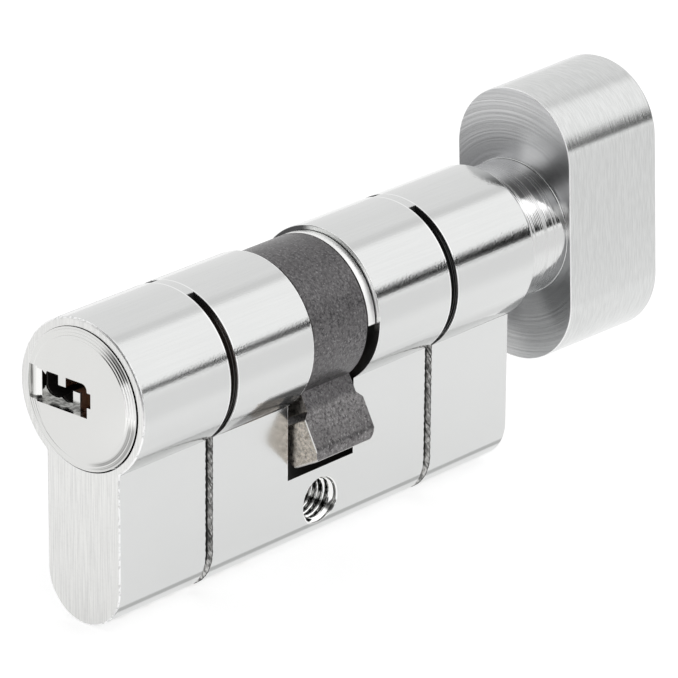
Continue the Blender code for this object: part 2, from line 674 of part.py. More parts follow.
clear_scene()
PARTS = new_collection("euro_cylinder")
CUTTERS = new_collection("euro_cylinder_cutters")
BODY_AXIS = new_axis("body_axis", PARTS)
PLUG_AXIS = new_axis("key_plug_axis", PARTS)
CAM_AXIS = new_axis("cam_axis", PARTS)
THUMBTURN_AXIS = new_axis("thumbturn_axis", PARTS)

make_housing(BODY_AXIS)
make_driver_pins(BODY_AXIS)
make_pin_springs(BODY_AXIS)
make_chamber_plugs(BODY_AXIS)
make_key_plug(PLUG_AXIS)
make_key_pins(PLUG_AXIS)
make_circlip("key_plug_circlip", -1, PLUG_AXIS)
make_clutch(PLUG_AXIS)
make_cam(CAM_AXIS)
make_thumbturn_core(THUMBTURN_AXIS)
make_clutch_spring(THUMBTURN_AXIS)
make_circlip("thumbturn_circlip", 1, THUMBTURN_AXIS)
make_knob(THUMBTURN_AXIS)
make_set_screw(THUMBTURN_AXIS)
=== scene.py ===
"""Looks for a euro profile cylinder with a thumbturn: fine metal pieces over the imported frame.

Metres, +Z up, the origin at the fixing screw's hole. The plug axis runs along Y above it.
"""

from math import asin, atan2, cos, pi, radians, sin, sqrt

import bmesh
import bpy
from mathutils import Matrix, Vector


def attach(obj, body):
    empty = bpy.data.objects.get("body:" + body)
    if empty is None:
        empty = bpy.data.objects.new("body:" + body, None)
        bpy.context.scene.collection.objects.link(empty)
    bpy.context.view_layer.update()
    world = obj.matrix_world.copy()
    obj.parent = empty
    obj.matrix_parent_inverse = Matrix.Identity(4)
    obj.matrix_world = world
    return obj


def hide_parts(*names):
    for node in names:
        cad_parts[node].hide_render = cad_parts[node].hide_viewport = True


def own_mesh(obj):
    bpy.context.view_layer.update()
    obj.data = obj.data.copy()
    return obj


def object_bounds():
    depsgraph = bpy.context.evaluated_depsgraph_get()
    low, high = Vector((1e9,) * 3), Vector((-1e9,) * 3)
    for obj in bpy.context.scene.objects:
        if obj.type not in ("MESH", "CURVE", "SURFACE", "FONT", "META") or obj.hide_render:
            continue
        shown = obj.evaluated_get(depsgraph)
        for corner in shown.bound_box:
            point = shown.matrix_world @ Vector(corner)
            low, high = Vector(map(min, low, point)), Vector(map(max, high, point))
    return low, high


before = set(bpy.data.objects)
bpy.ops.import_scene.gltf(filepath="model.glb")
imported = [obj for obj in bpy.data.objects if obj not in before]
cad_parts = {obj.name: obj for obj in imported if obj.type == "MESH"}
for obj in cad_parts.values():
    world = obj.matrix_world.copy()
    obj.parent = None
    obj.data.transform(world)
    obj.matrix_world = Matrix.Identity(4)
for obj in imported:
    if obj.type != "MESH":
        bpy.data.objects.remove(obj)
cad_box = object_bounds()

MM = 0.001
AXIS = 19.1 * MM


class Field:
    """One value over a surface: a shader node's output, whose sums and products add Math nodes."""

    def __init__(self, tree, socket):
        self.tree = tree
        self.socket = socket

    def maths(self, operation, *values):
        return self.tree.node("ShaderNodeMath", {"operation": operation}, dict(enumerate(values)))

    def __add__(self, other):
        return self.maths("ADD", self, other)

    def __radd__(self, other):
        return self.maths("ADD", other, self)

    def __sub__(self, other):
        return self.maths("SUBTRACT", self, other)

    def __rsub__(self, other):
        return self.maths("SUBTRACT", other, self)

    def __mul__(self, other):
        return self.maths("MULTIPLY", self, other)

    def __rmul__(self, other):
        return self.maths("MULTIPLY", other, self)

    def __truediv__(self, other):
        return self.maths("DIVIDE", self, other)

    def __pow__(self, other):
        return self.maths("POWER", self, other)

    def __abs__(self):
        return self.maths("ABSOLUTE", self)


class Tree:
    """The shader nodes of one material or of the world."""

    def __init__(self, owner):
        owner.use_nodes = True
        self.nodes = owner.node_tree.nodes
        self.links = owner.node_tree.links
        self.nodes.clear()

    def node(self, kind, settings=None, sockets=None, out=0):
        """Adds a node: its settings first, then the values or links of its sockets; gives one output."""
        made = self.nodes.new(kind)
        for name, value in (settings or {}).items():
            setattr(made, name, value)
        for name, value in (sockets or {}).items():
            if isinstance(value, Field):
                self.links.new(value.socket, made.inputs[name])
            else:
                made.inputs[name].default_value = value
        return Field(self, made.outputs[out]) if made.outputs else None

    def vector(self, x, y, z):
        return self.node("ShaderNodeCombineXYZ", None, {0: x, 1: y, 2: z})

    def parts(self, vector):
        return [self.node("ShaderNodeSeparateXYZ", None, {0: vector}, axis) for axis in range(3)]

    def larger(self, first, second):
        return self.node("ShaderNodeMath", {"operation": "MAXIMUM"}, {0: first, 1: second})

    def smaller(self, first, second):
        return self.node("ShaderNodeMath", {"operation": "MINIMUM"}, {0: first, 1: second})

    def step(self, value, low, high):
        """0 below low, 1 above high, and a smooth rise between."""
        return self.node("ShaderNodeMapRange", {"interpolation_type": "SMOOTHSTEP"},
                         {"Value": value, "From Min": low, "From Max": high})

    def fall(self, value, low, high):
        """1 below low, 0 above high, and a smooth fall between."""
        return 1.0 - self.step(value, low, high)

    def band(self, value, low, high, soft):
        """1 between low and high, 0 outside, with soft ends."""
        return self.step(value, low - soft, low + soft) * self.fall(value, high - soft, high + soft)

    def noise(self, vector, scale, detail=2.0, rough=0.5):
        return self.node("ShaderNodeTexNoise", {"noise_dimensions": "3D"},
                         {"Vector": vector, "Scale": scale, "Detail": detail, "Roughness": rough})

    def mix(self, share, first, second):
        """Mixes two colours."""
        return self.node("ShaderNodeMix", {"data_type": "RGBA"}, {0: share, 6: first, 7: second}, 2)

    def where(self, name):
        """The place or the normal of a point, in the piece's own frame."""
        return self.node("ShaderNodeTexCoord", None, None, name)

    def ray(self, name):
        """1 for rays of one kind, such as camera rays."""
        return self.node("ShaderNodeLightPath", None, None, name)

    def bump(self, height, distance):
        return self.node("ShaderNodeBump", None, {"Height": height, "Distance": distance, "Strength": 1.0})

    def surface(self, **sockets):
        shader = self.node("ShaderNodeBsdfPrincipled", None, sockets)
        self.node("ShaderNodeOutputMaterial", None, {"Surface": shader})


def colour(r, g, b):
    return (r, g, b, 1.0)


WHITE = colour(1.0, 1.0, 1.0)
NEAR_BLACK = colour(0.03, 0.03, 0.03)


def new_tree(name):
    material = bpy.data.materials.new(name)
    return material, Tree(material)


# Sizes in mm from the plug axis, taken from the part's own measures
HEAD_R = 8.5
WEB_HALF = 5.0
WEB_FILLET = 0.25
FOOT = -24.5
END = 30.0
BORE_R = 6.8
RIM_R = 7.64
SLOT_HALF = 5.05
SLOT_FLOOR = -15.3
SCREW_Z = -19.1
SCREW_R = 2.5
THREAD_PITCH = 0.8
GROOVE_Y = 16.9
GROOVE_HALF = 0.55
GROOVE_CORE = 2.4
PINS = (-26.0, -22.5, -19.0, -15.5, -12.0, -8.5)
CHAMBER_R = 1.5
PLUG_R = 6.5
FACE_R = 7.54
FACE = -30.25
RING_R = 8.0
RING_HALF = 3.75
RING_FRONT = -4.4
LUG_REACH = 15.0
LUG_ANGLE = radians(28.0)
TONGUE_R = 4.3
TONGUE_HALF = 2.3
NECK_R = 7.45
NECK_START = 30.3
KNOB_NEAR = 36.55
KNOB_FAR = 51.1

# Frames for shapes drawn flat: along the plug axis, along X, upright, and seen from the front
ALONG_Y = Matrix.Translation((0.0, 0.0, AXIS)) @ Matrix.Rotation(-pi / 2, 4, "X")
ALONG_X = Matrix.Translation((0.0, 0.0, AXIS)) @ Matrix.Rotation(pi / 2, 4, "Y")
UPRIGHT = Matrix.Translation((0.0, 0.0, AXIS))
FROM_FRONT = Matrix(((1, 0, 0, 0), (0, 0, 1, 0), (0, 1, 0, AXIS), (0, 0, 0, 1)))


def moved(x, y, z):
    return Matrix.Translation((x * MM, y * MM, z * MM))


def arc(centre, radius, start, end, steps):
    turns = [start + (end - start) * i / steps for i in range(steps + 1)]
    return [(centre[0] + radius * cos(t), centre[1] + radius * sin(t)) for t in turns]


def new_shape(name, work, place):
    """Makes a closed mesh an object of the scene, its place in its vertices."""
    bmesh.ops.remove_doubles(work, verts=work.verts, dist=1.0e-7)
    bmesh.ops.transform(work, matrix=place, verts=work.verts)
    bmesh.ops.recalc_face_normals(work, faces=work.faces)
    mesh = bpy.data.meshes.new(name)
    work.to_mesh(mesh)
    work.free()
    obj = bpy.data.objects.new(name, mesh)
    bpy.context.scene.collection.objects.link(obj)
    return obj


def stitched(work, rings):
    """Joins rings of points, each to the next; a ring of one point is a tip."""
    steps = max(len(ring) for ring in rings)
    for low, high in zip(rings, rings[1:]):
        for i in range(steps):
            j = i + 1
            corners = (low[i % len(low)], low[j % len(low)], high[j % len(high)], high[i % len(high)])
            work.faces.new(list(dict.fromkeys(corners)))


def capped(name, work, rings, place):
    """Joins rings of points and closes both ends."""
    stitched(work, rings)
    work.faces.new(rings[0])
    work.faces.new(rings[-1])
    return new_shape(name, work, place)


def turned(name, profile, place, steps=128):
    """Turns (radius, along) points round an axis."""
    work = bmesh.new()
    rings = []
    for radius, along in profile:
        turns = [2 * pi * i / steps for i in range(steps if radius > 0.0 else 1)]
        points = [(radius * MM * cos(t), radius * MM * sin(t), along * MM) for t in turns]
        rings.append([work.verts.new(point) for point in points])
    stitched(work, rings)
    return new_shape(name, work, place)


def rod(name, radius, start, end, place, steps=128):
    return turned(name, [(0, start), (radius, start), (radius, end), (0, end)], place, steps)


def lofted(name, sections, place):
    """Joins flat outlines of equal count, each at its own height, and closes both ends."""
    work = bmesh.new()
    rings = []
    for outline, height in sections:
        rings.append([work.verts.new((u * MM, v * MM, height * MM)) for u, v in outline])
    return capped(name, work, rings, place)


def extruded(name, outline, start, end, place=FROM_FRONT):
    return lofted(name, [(outline, start), (outline, end)], place)


def block(name, low, high):
    (x0, y0, z0), (x1, y1, z1) = low, high
    return extruded(name, [(x0, z0), (x1, z0), (x1, z1), (x0, z1)], y0, y1)


def settle(obj):
    """Applies a shape's modifiers, so that nothing hidden stays behind."""
    bpy.context.view_layer.update()
    done = bpy.data.meshes.new_from_object(obj.evaluated_get(bpy.context.evaluated_depsgraph_get()))
    old = obj.data
    obj.modifiers.clear()
    obj.data = done
    bpy.data.meshes.remove(old)


def combine(obj, tools, operation="DIFFERENCE"):
    for tool in tools:
        join = obj.modifiers.new(tool.name, "BOOLEAN")
        join.operation = operation
        join.solver = "MANIFOLD"
        join.object = tool
    settle(obj)
    for tool in tools:
        mesh = tool.data
        bpy.data.objects.remove(tool, do_unlink=True)
        bpy.data.meshes.remove(mesh)


def soften(obj, width, least_angle=40.0, segments=2):
    """Rounds a shape's sharp edges a little, as deburring leaves them."""
    edge = obj.modifiers.new("soft_edges", "BEVEL")
    edge.width = width * MM
    edge.segments = segments
    edge.limit_method = "ANGLE"
    edge.angle_limit = radians(least_angle)
    settle(obj)


def shade(obj, sharp=38.0):
    obj.data.shade_smooth()
    obj.data.set_sharp_from_angle(angle=radians(sharp))
    even = obj.modifiers.new("even_flats", "WEIGHTED_NORMAL")
    even.keep_sharp = True
    even.weight = 80
    settle(obj)


def dress(obj, body, slot, material, *nodes):
    """Hands a finished shape to the frame: its body, its material and the nodes it stands for. The slot
    argument is not used.
    """
    obj.data.materials.clear()
    obj.data.materials.append(material)
    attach(obj, body)
    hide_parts(*nodes)


def profile_outline():
    """Standard profile: round head, parallel web with a round foot, filleted between."""
    centre_x = WEB_HALF + WEB_FILLET
    centre_z = -sqrt((HEAD_R + WEB_FILLET) ** 2 - centre_x ** 2)
    lean = atan2(centre_z, centre_x)
    foot = (0.0, FOOT + WEB_HALF)
    outline = arc((0.0, 0.0), HEAD_R, lean, pi - lean, 168)
    outline += arc((-centre_x, centre_z), WEB_FILLET, -lean, 0.0, 8)[1:]
    outline += arc(foot, WEB_HALF, pi, 2 * pi, 64)
    outline += arc((centre_x, centre_z), WEB_FILLET, pi, pi + lean, 8)[:-1]
    return outline


def round_ends(obj, edge):
    """Rounds the rims of both ends of an extruded shape."""
    work = bmesh.new()
    work.from_mesh(obj.data)
    caps = [face for face in work.faces if len(face.verts) > 4]
    rims = list({e for face in caps for e in face.edges})
    bmesh.ops.bevel(work, geom=rims, offset=edge * MM, offset_type="OFFSET", segments=4, profile=0.5,
                    affect="EDGES", clamp_overlap=True)
    bmesh.ops.recalc_face_normals(work, faces=work.faces)
    work.to_mesh(obj.data)
    work.free()


def saw_mark(x, z, wall):
    """How far a sawn wall stands off its plane: clean round the head, torn in steep ridges on the web."""
    torn_from = -6.5
    torn_over = 1.5
    ridge_pitch = 0.9
    ridge_height = 0.035
    fine_pitch = 0.41
    fine_height = 0.02
    torn = min(max((torn_from - z) / torn_over, 0.0), 1.0)
    sway = 0.8 * sin(1.9 * z + 2.0 * wall) + 0.5 * sin(4.3 * z + x)
    ridge = sin(2 * pi * (z - 1.1 * abs(x)) / ridge_pitch + sway)
    fine = sin(2 * pi * (z - 0.7 * abs(x)) / fine_pitch + 1.3 * wall + sway)
    return torn * (ridge_height * ridge + fine_height * fine)


def saw_cut(name, y, side):
    """Tool for one break-off groove, whose walls carry the saw's ridges."""
    columns = 26
    rows = 250
    low = FOOT - 0.6
    high = HEAD_R + 0.4
    work = bmesh.new()
    walls = []
    for wall in (-1, 1):
        grid = []
        for i in range(columns + 1):
            x = side * (GROOVE_CORE + (HEAD_R + 0.6 - GROOVE_CORE) * i / columns)
            heights = [low + (high - low) * j / rows for j in range(rows + 1)]
            places = [(y + wall * GROOVE_HALF + saw_mark(x, z, wall), z) for z in heights]
            grid.append([work.verts.new((x * MM, along * MM, z * MM)) for along, z in places])
        walls.append(grid)
        for a, b in zip(grid, grid[1:]):
            for j in range(rows):
                work.faces.new((a[j], b[j], b[j + 1], a[j + 1]))
    first, second = walls
    rim = [(i, 0) for i in range(columns)] + [(columns, j) for j in range(rows)]
    rim += [(i, rows) for i in range(columns, 0, -1)] + [(0, j) for j in range(rows, 0, -1)]
    for (i, j), (k, m) in zip(rim, rim[1:] + rim[:1]):
        work.faces.new((first[i][j], first[k][m], second[k][m], second[i][j]))
    return new_shape(name, work, UPRIGHT)


def thread_tool(name):
    """Tool for the fixing screw's hole: a screw thread that runs out towards each mouth."""
    rows = 320
    steps = 96
    reach = WEB_HALF + 0.5
    mouth = 4.85
    runout_length = 0.9
    depth = 0.45
    play = 0.05
    work = bmesh.new()
    rings = []
    for i in range(rows + 1):
        along = -reach + 2 * reach * i / rows
        runout = min(max((mouth - abs(along)) / runout_length, 0.0), 1.0)
        ring = []
        for k in range(steps):
            turn = 2 * pi * k / steps
            phase = (along / THREAD_PITCH - k / steps) % 1.0
            rise = min(max((abs(2.0 * phase - 1.0) - 0.2) / 0.6, 0.0), 1.0)
            radius = SCREW_R + play - depth * rise * runout
            radius = max(radius, SCREW_R + abs(along) - mouth)
            ring.append(work.verts.new((radius * MM * cos(turn), radius * MM * sin(turn), along * MM)))
        rings.append(ring)
    return capped(name, work, rings, ALONG_X @ moved(-SCREW_Z, 0.0, 0.0))


def make_housing(material):
    body = extruded("body", profile_outline(), -END, END)
    round_ends(body, 0.3)
    key_mouth = rod("key_mouth", RIM_R, -31, -28.7, ALONG_Y @ moved(0.05, 0.05, 0.0))
    key_bore = rod("key_bore", BORE_R, -29.5, -4.5, ALONG_Y)
    knob_bore = rod("knob_bore", BORE_R, 4.5, 31, ALONG_Y)
    slot = block("slot", (-9.5, -SLOT_HALF, SLOT_FLOOR), (9.5, SLOT_HALF, 9.5))
    chambers = [rod("chamber", CHAMBER_R, -25, -6, UPRIGHT @ moved(0, y, 0), 24) for y in PINS]
    combine(body, [key_mouth, key_bore, knob_bore, slot, *chambers])
    soften(body, 0.07)
    cuts = [saw_cut("saw_cut", y, side) for y in (-GROOVE_Y, GROOVE_Y) for side in (-1, 1)]
    combine(body, [*cuts, thread_tool("thread")])
    shade(body)
    dress(body, "housing", "housing_nickel", material, "housing")


def key_slot_roof():
    """The key slot's side notch, its round corner and its roof with a ward, from right to left."""
    notch = [(0.9, -0.64), (1.4, -0.64), (1.4, 0.95), (0.9, 0.95)]
    corner = arc((0.2, 1.1), 0.7, 0.0, pi / 2, 8)
    ward = [(-2.0, 1.8), (-2.0, 0.75), (-3.03, 0.75), (-3.03, 1.8)]
    return notch + corner + ward + [(-4.62, 1.8), (-4.75, 1.42), (-5.25, 1.75)]


def key_slot_outline():
    """The key slot behind its mouth: wards from above and below, a side notch, a bowed floor."""
    left = [(-6.05, 1.6), (-6.05, -0.5), (-5.87, -0.86), (-5.55, -1.16), (-5.1, -1.34)]
    floor = [(-4.7, -1.41), (-4.2, -1.38), (-3.86, -1.2), (-3.4, -1.42), (-3.02, -1.55), (-2.5, -1.42),
             (-2.24, -1.4), (-2.24, -0.08), (-1.28, -0.08), (-1.28, -1.8), (0.9, -1.8)]
    return left + floor + key_slot_roof()


def tongue_slot(name, start, end):
    """Tool for a slot across the axis that takes a tongue, with round ends."""
    swing = asin(TONGUE_HALF / TONGUE_R)
    right = arc((0, 0), TONGUE_R, -swing, swing, 12)
    left = arc((0, 0), TONGUE_R, pi - swing, pi + swing, 12)
    return extruded(name, right + left, start, end)


def make_key_plug(material):
    bevel_start = 6.2
    bevel_width = FACE_R - bevel_start
    bevel_drop = 0.13
    bevel_steps = 139
    ring_pitch = 0.335
    ring_depths = (0.009, 0.016, 0.011, 0.015, 0.015)
    clip_groove_r = 5.6
    bevel = []
    for i in range(bevel_steps + 1):
        along = bevel_width * i / bevel_steps
        ripple = ring_depths[int(along / ring_pitch)] * (1.0 - cos(2 * pi * along / ring_pitch))
        bevel.append((bevel_start + along, FACE + bevel_drop * along / bevel_width + ripple))
    body = [(FACE_R, -29.0), (PLUG_R, -29.0), (PLUG_R, -5.05), (clip_groove_r, -5.05),
            (clip_groove_r, -3.75), (PLUG_R, -3.75), (PLUG_R, -3.05), (0, -3.05)]
    plug = turned("plug", [(0, FACE), (3.0, FACE), *bevel, *body], ALONG_Y, 160)
    before = FACE - 1.0
    mouth = [(-6.05, -1.8), (0.9, -1.8), *key_slot_roof(), (-6.05, 1.8)]
    scoop = [(-7.2, FACE + 0.5), (-6.8, FACE + 0.52), (-6.4, FACE + 0.62), (-6.0, FACE + 0.8), (-6.0, before),
             (-7.2, before)]
    tools = [extruded("mouth", mouth, before, FACE + 1.3), extruded("lead_in", scoop, -1.7, 1.95, UPRIGHT)]
    tools.append(extruded("slot", key_slot_outline(), FACE + 1.0, -5.65))
    tools.append(tongue_slot("socket", -6.65, -2.0))
    tools += [rod("pin_bore", CHAMBER_R, -7.5, 0.3, UPRIGHT @ moved(0, y, 0), 24) for y in PINS]
    combine(plug, tools)
    shade(plug, 30.0)
    dress(plug, "key_plug", "plug_nickel", material, "key_plug")


def make_cam(material):
    edge = 0.08
    rim = RING_R - edge
    recess_r = 6.8
    web = 2.75
    rear = [(0, web), (recess_r, web), (recess_r, RING_HALF), (rim, RING_HALF), (RING_R, RING_HALF - edge)]
    front = [(RING_R, RING_FRONT + edge), (rim, RING_FRONT), (recess_r, RING_FRONT), (recess_r, -web),
             (0, -web)]
    ring = turned("cam_ring", rear + front, ALONG_Y, 144)
    hang = UPRIGHT @ Matrix.Rotation(-LUG_ANGLE, 4, "Y")
    tip = -sqrt(LUG_REACH ** 2 - 1.7 ** 2)
    section = [(-2.2, -7.4), (-2.2, -13.85), (-1.7, tip), (1.7, tip), (2.2, -13.85), (2.2, -7.4)]
    plan = [(3.75, 0), (-3.75, 0), (-3.75, -9.7), (-4.5, -10.45), *arc((-4.2, -14.7), 0.3, pi, 1.5 * pi, 4),
            *arc((3.3, -13.8), 1.2, 1.5 * pi, 2 * pi, 10), (4.5, -10.45), (3.75, -9.7)]
    from_front = Matrix(((1, 0, 0, 0), (0, 0, 1, 0), (0, 1, 0, 0), (0, 0, 0, 1)))
    from_side = Matrix(((0, 0, 1, 0), (1, 0, 0, 0), (0, 1, 0, 0), (0, 0, 0, 1)))
    lug = extruded("lug", section, -5.0, 5.0, hang @ from_front)
    combine(lug, [extruded("lug_plan", plan, -4.0, 4.0, hang @ from_side)], "INTERSECT")
    soften(lug, 0.12, 30.0)
    combine(ring, [lug], "UNION")
    combine(ring, [tongue_slot("tongue_slot", -RING_HALF, RING_HALF)])
    shade(ring, 30.0)
    dress(ring, "cam", "sintered_steel", material, "cam")


def make_circlip(name, near, far, body, node, material):
    """A circlip with a wide opening below, between two places along the axis."""
    end = radians(240.0)
    inner_r = 5.9
    outline = arc((0, 0), RING_R, 0.0, end, 96) + arc((0, 0), inner_r, end, 0.0, 72)
    clip = extruded(name, outline, near, far)
    soften(clip, 0.09, 50.0)
    shade(clip, 30.0)
    dress(clip, body, "spring_steel", material, node)


def wound(name, radius, wire, turns, foot, top, place):
    """Winds a wire on a cylinder about an upright axis, from its foot to its top."""
    work = bmesh.new()
    steps = 20
    sides = 8
    rise = (top - foot - wire) / (turns * steps)
    rings = []
    for i in range(turns * steps + 1):
        turn = 2 * pi * i / steps
        ring = []
        for k in range(sides):
            across = 2 * pi * k / sides
            out = (radius + wire / 2 * cos(across)) * MM
            up = (foot + wire / 2 + i * rise + wire / 2 * sin(across)) * MM
            ring.append(work.verts.new((out * cos(turn), out * sin(turn), up)))
        rings.append(ring)
    return capped(name, work, rings, place)


def make_springs(material):
    """The coils of the driver pins and of the clutch."""
    foot = -1.05
    top = 7.85
    for number, y in enumerate(PINS, 1):
        coil = wound("pin_coil_%d" % number, 1.05, 0.3, 7, foot, top, moved(0.0, y, 0.0))
        shade(coil, 60.0)
        dress(coil, "housing", "spring_steel", material, "pin_spring_%d" % number)
        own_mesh(coil)
    start = -4.85
    end = 3.55
    coil = wound("clutch_coil", 1.325, 0.35, 6, start, end, ALONG_Y)
    shade(coil, 60.0)
    dress(coil, "thumbturn", "spring_steel", material, "clutch_spring")
    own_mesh(coil)


def knob_outline(inset, share):
    """The grip from the front, leaning a little to the left; share runs from 0 at its near end to 1."""
    half_width = 7.74 + 0.16 * share - inset
    half_height = 15.25 + 0.17 * share - inset
    across = 0.15
    corner = half_width - across
    up = half_height - corner
    lean = 0.044
    right = 0.15
    over = 0.17
    outline = []
    for x, z, start in ((across, up, 0.0), (-across, up, 0.5), (-across, -up, 1.0), (across, -up, 1.5)):
        outline += arc((x, z), corner, start * pi, (start + 0.5) * pi, 36)
    return [(x * cos(lean) - z * sin(lean) + right, x * sin(lean) + z * cos(lean) + over) for x, z in outline]


def make_knob(material):
    near_edge = 0.12
    far_edge = 0.35
    fillet_r = 0.13
    marks_start = 30.5
    marks_length = 3.6
    mark_count = 150
    mark_pitch = 0.24
    mark_depth = 0.007
    inside = 37.0
    turns = [i * pi / 10 for i in range(6)]
    sections = []
    for t in turns:
        sections.append((knob_outline(near_edge * (1 - sin(t)), 0.0), KNOB_NEAR + near_edge * (1 - cos(t))))
    for t in reversed(turns):
        sections.append((knob_outline(far_edge * (1 - sin(t)), 1.0), KNOB_FAR - far_edge * (1 - cos(t))))
    grip = lofted("grip", sections, FROM_FRONT)
    fillet = [(NECK_R + fillet_r * (1 - sin(t * pi / 12)), KNOB_NEAR - fillet_r * (1 - cos(t * pi / 12)))
              for t in range(7)]
    tool_marks = []
    for i in range(mark_count, -1, -1):
        along = marks_start + marks_length * i / mark_count
        fading = min((marks_start + marks_length - along) / 0.6, 1.0)
        depth = mark_depth * (0.6 + 0.4 * sin(2.7 * along)) * fading
        tool_marks.append((NECK_R - depth * (0.5 - 0.5 * cos(2 * pi * along / mark_pitch)), along))
    neck = [(0, inside), (NECK_R + fillet_r, inside), *fillet, *tool_marks]
    neck += [(NECK_R - 0.2, NECK_START), (0, NECK_START)]
    combine(grip, [turned("neck", neck, ALONG_Y, 160)], "UNION")
    bore = rod("bore", 4.3, 29, 43.3, ALONG_Y)
    screw = rod("screw_hole", 1.8, -8.2, -4, UPRIGHT @ moved(0, 33.5, 0), 32)
    combine(grip, [bore, screw])
    shade(grip, 38.0)
    dress(grip, "thumbturn", "knob_nickel", material, "knob")


def whereabouts(tree):
    """A point's place, that place in parts and the parts of its normal."""
    place = tree.where("Object")
    return place, tree.parts(place), tree.parts(tree.where("Normal"))


def drawn_nickel(name):
    """Housing: nickel over drawn brass, with lines along the axis, a brushed front end and sawn grooves."""
    material, tree = new_tree(name)
    place, (x, y, z), (nx, ny, _) = whereabouts(tree)
    lift = z - AXIS
    radius = (x * x + lift * lift) ** 0.5
    # Grain of the drawn metal
    lines = tree.noise(tree.vector(x * 2600.0, y * 70.0, z * 2600.0), 1.0, 3.0, 0.6)
    fine = tree.noise(tree.vector(x * 5200.0, y * 110.0, z * 5200.0), 1.0, 2.0, 0.6)
    pits = tree.noise(place, 5000.0, 2.0, 0.6)
    cloud = tree.noise(place, 140.0, 3.0)
    dashes = tree.step(tree.noise(place, 2500.0, 2.0), 0.38, 0.5)
    # Ends, flanks, grooves and the cam's slot
    front = tree.step(0.0 - ny, 0.8, 0.95) * tree.fall(y, -29.8 * MM, -29.6 * MM)
    rim = tree.band(0.0 - ny, 0.35, 0.93, 0.1) * tree.fall(y, -29.75 * MM, -29.68 * MM)
    right = tree.step(x, 0.0, 1.0 * MM)
    knob_rim = tree.band(ny, 0.25, 0.75, 0.1) * tree.step(y, 29.68 * MM, 29.75 * MM) * right
    brushed = tree.noise(tree.vector(x * 8200.0, y * 200.0, z * 160.0), 1.0, 2.0, 0.6)
    streak = tree.step(brushed, 0.35, 0.65)
    flank = tree.step(abs(nx), 0.9, 0.98)
    below = tree.smaller(lift + 19.5 * MM, 0.0)
    across = (x * x + below * below) ** 0.5
    in_head = tree.fall(radius, 8.42 * MM, 8.47 * MM)
    in_web = tree.fall(across, 4.92 * MM, 4.97 * MM) * tree.fall(lift, -6.8 * MM, -6.6 * MM)
    inside = tree.larger(in_head, in_web)
    from_groove = abs(abs(y) - GROOVE_Y * MM)
    sawn = inside * tree.fall(from_groove, 0.62 * MM, 0.68 * MM)
    torn = tree.fall(lift, -7.0 * MM, -5.0 * MM)
    in_slot = inside * tree.fall(abs(y), 5.08 * MM, 5.14 * MM) * tree.step(lift, -15.45 * MM, -15.35 * MM)
    in_pit = in_slot * tree.fall(lift, -7.5 * MM, -5.5 * MM)
    slot_rim = in_slot * tree.step(radius, 7.7 * MM, 7.9 * MM) * tree.step(lift, -0.9 * MM, -0.5 * MM)
    cut_edge = tree.band(abs(y), 5.065 * MM, 5.14 * MM, 0.008 * MM) * dashes
    cut_edge = cut_edge * tree.step(lift, -15.3 * MM, -15.2 * MM)
    head_right = right * (1.0 - flank) * tree.fall(radius, 9.0 * MM, 9.2 * MM)
    # corner: a painted band of shade low on the head's right side, above the flank
    corner = tree.band(0.0 - lift, 4.2 * MM, 5.6 * MM, 0.8 * MM) * head_right
    # Painted shade: a dark patch under the head's right side beside the cam, standing in for the lug's dark
    # reflection
    beside_cam = tree.step(y, -15.8 * MM, -13.3 * MM) * tree.fall(y, -5.0 * MM, -4.9 * MM)
    shrinking = 0.45 * tree.larger(0.0 - y - 11.0 * MM, 0.0)
    shade_under_head = tree.step(0.0 - lift - shrinking, 3.2 * MM, 4.1 * MM) * beside_cam * head_right
    groove_edge = tree.band(from_groove, 0.56 * MM, 0.72 * MM, 0.02 * MM) * (1.0 - inside)
    groove_edge = groove_edge * tree.step(lift, -6.6 * MM, -6.2 * MM)
    # Thread for the fixing screw
    over_screw = lift - SCREW_Z * MM
    from_screw = (y * y + over_screw * over_screw) ** 0.5
    thread = tree.fall(from_screw, 2.66 * MM, 2.7 * MM)
    slope = over_screw / from_screw
    # Painted on the thread's far wall: a dark reflected band, and a sheen above it that lightens the roots
    far_wall = thread * tree.step(y, 0.0, 0.5 * MM)
    dark_turn_reflection = tree.band(slope, -0.70, -0.46, 0.06) * far_wall
    bright_turn_sheen = tree.band(slope, -0.38, -0.15, 0.06) * far_wall
    root = tree.step(from_screw, 2.33 * MM, 2.5 * MM) * tree.fall(abs(x), 3.7 * MM, 4.3 * MM)
    root = root * (1.0 - 0.7 * bright_turn_sheen)
    # Colours
    tone = tree.mix(cloud, colour(0.712, 0.719, 0.715), colour(0.74, 0.746, 0.741))
    tone = tree.mix(tree.step(lines, 0.3, 0.7) * 0.5, tone, colour(0.717, 0.722, 0.717))
    tone = tree.mix(tree.step(fine, 0.35, 0.65) * (1.0 - flank) * 0.15, tone, colour(0.62, 0.627, 0.624))
    # Painted shade: the grey band low on the head and the dark patch under it beside the cam
    tone = tree.mix(tree.larger(corner * 0.22, shade_under_head * 0.91), tone, NEAR_BLACK)
    tone = tree.mix(front, tone, tree.mix(streak, colour(0.69, 0.69, 0.68), colour(0.81, 0.81, 0.795)))
    # Painted light and shade in the thread: light crests, dark roots, then the dark reflected band
    tone = tree.mix(thread, tone, tree.mix(root, colour(0.97, 0.97, 0.96), colour(0.32, 0.32, 0.32)))
    tone = tree.mix(dark_turn_reflection * 0.85, tone, NEAR_BLACK)
    # Painted shade: the cam's slot darker than the plate
    tone = tree.mix(in_slot, tone, colour(0.30, 0.30, 0.30))
    # Painted light and shade on the slot's upper walls near the head's surface: dark on the left, pale and
    # then white towards the right
    left_wall_shade = colour(0.09, 0.09, 0.092)
    slot_rim_light_and_shade = tree.mix(tree.step(x, -2.4 * MM, -0.6 * MM), left_wall_shade, colour(0.85, 0.86, 0.85))
    slot_rim_light_and_shade = tree.mix(tree.step(x, 5.5 * MM, 7.5 * MM), slot_rim_light_and_shade, WHITE)
    tone = tree.mix(slot_rim, tone, slot_rim_light_and_shade)
    # Painted shade: the slot near black where it runs down into the web
    tone = tree.mix(in_pit, tone, colour(0.04, 0.038, 0.036))
